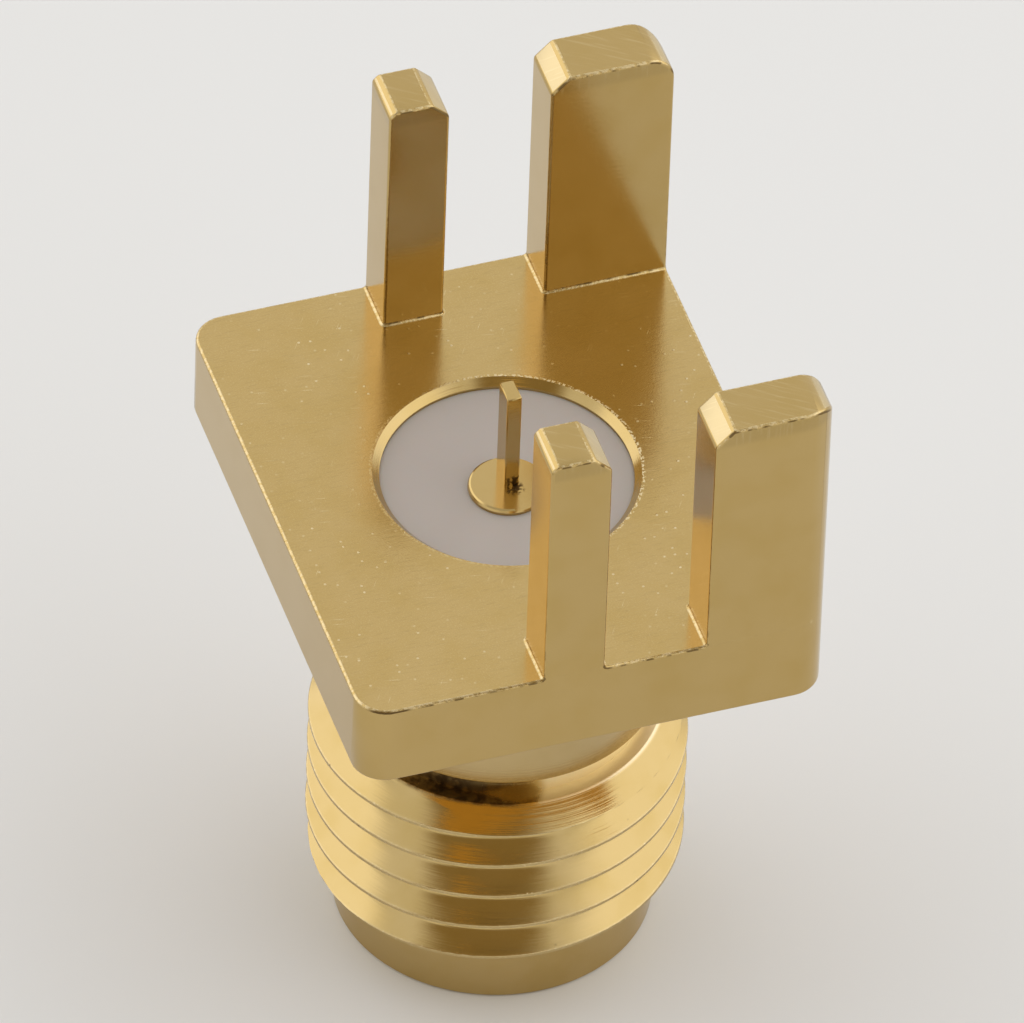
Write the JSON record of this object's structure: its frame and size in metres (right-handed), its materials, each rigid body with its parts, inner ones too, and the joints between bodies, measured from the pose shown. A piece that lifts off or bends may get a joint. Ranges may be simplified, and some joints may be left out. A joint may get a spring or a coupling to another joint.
{
  "type": "coaxial jack",
  "caption": "Edge-mount coaxial jack: rectangular flange with legs that straddle a board's edge, threaded barrel, white insulator and centre contact with a solder tab.",
  "frame": {"origin": "on the barrel's axis, in the plane of its mouth, on which the jack stands", "axes": "+Z along the barrel's axis, from the mouth to the legs; +X across the board's thickness, from the thin legs to the wide legs; +Y along the board's edge"},
  "size_m": [0.008, 0.0096, 0.0143],
  "materials": {
    "gold_plate": "gold-plated brass, turned and milled, bright with fine tool marks",
    "white_insulator": "white fluoropolymer, smooth, slightly translucent",
    "gold_contact": "gold-plated spring copper alloy, fine saw and milling marks"
  },
  "bodies": {
    "root": {"body": "gold_plate", "dielectric": "white_insulator", "contact": "gold_contact"}
  },
  "joints": []
}
